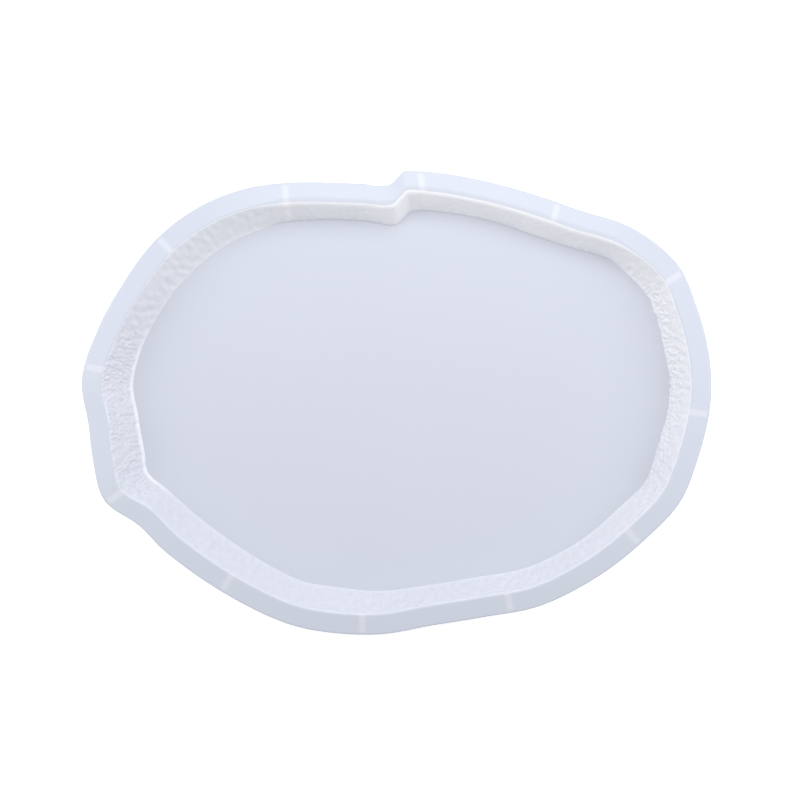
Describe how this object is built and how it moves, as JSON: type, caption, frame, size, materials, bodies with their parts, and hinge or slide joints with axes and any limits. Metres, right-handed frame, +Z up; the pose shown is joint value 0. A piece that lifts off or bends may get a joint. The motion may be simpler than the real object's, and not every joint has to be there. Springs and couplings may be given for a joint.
{
  "type": "resin casting mould",
  "caption": "Shallow free-form oval casting mould in translucent white silicone, with a flat floor, rough sloping wall, smooth flange and ribs under the flange.",
  "frame": {"origin": "middle of the outer length and width, on the surface that the mould stands on", "axes": "+X along the long axis, +Y towards the edge with the small step in its outline, +Z up, out of the cavity's mouth"},
  "size_m": [0.35, 0.2579, 0.022],
  "materials": {
    "silicone_floor": "translucent white silicone with a cool tint, smooth and satin",
    "silicone_rough_wall": "translucent white silicone with a cool tint, cast against rough broken stone",
    "silicone_flange": "translucent white silicone with a cool tint, smooth, with a soft sheen",
    "silicone_rib": "translucent white silicone with a cool tint, smooth"
  },
  "bodies": {
    "root": {"cavity_floor": "silicone_floor", "cavity_wall": "silicone_rough_wall", "top_flange": "silicone_flange", "stiffening_rib_01": "silicone_rib", "stiffening_rib_02": "silicone_rib", "stiffening_rib_03": "silicone_rib", "stiffening_rib_04": "silicone_rib", "stiffening_rib_05": "silicone_rib", "stiffening_rib_06": "silicone_rib", "stiffening_rib_07": "silicone_rib", "stiffening_rib_08": "silicone_rib", "stiffening_rib_09": "silicone_rib", "stiffening_rib_10": "silicone_rib", "stiffening_rib_11": "silicone_rib", "stiffening_rib_12": "silicone_rib"}
  },
  "joints": []
}
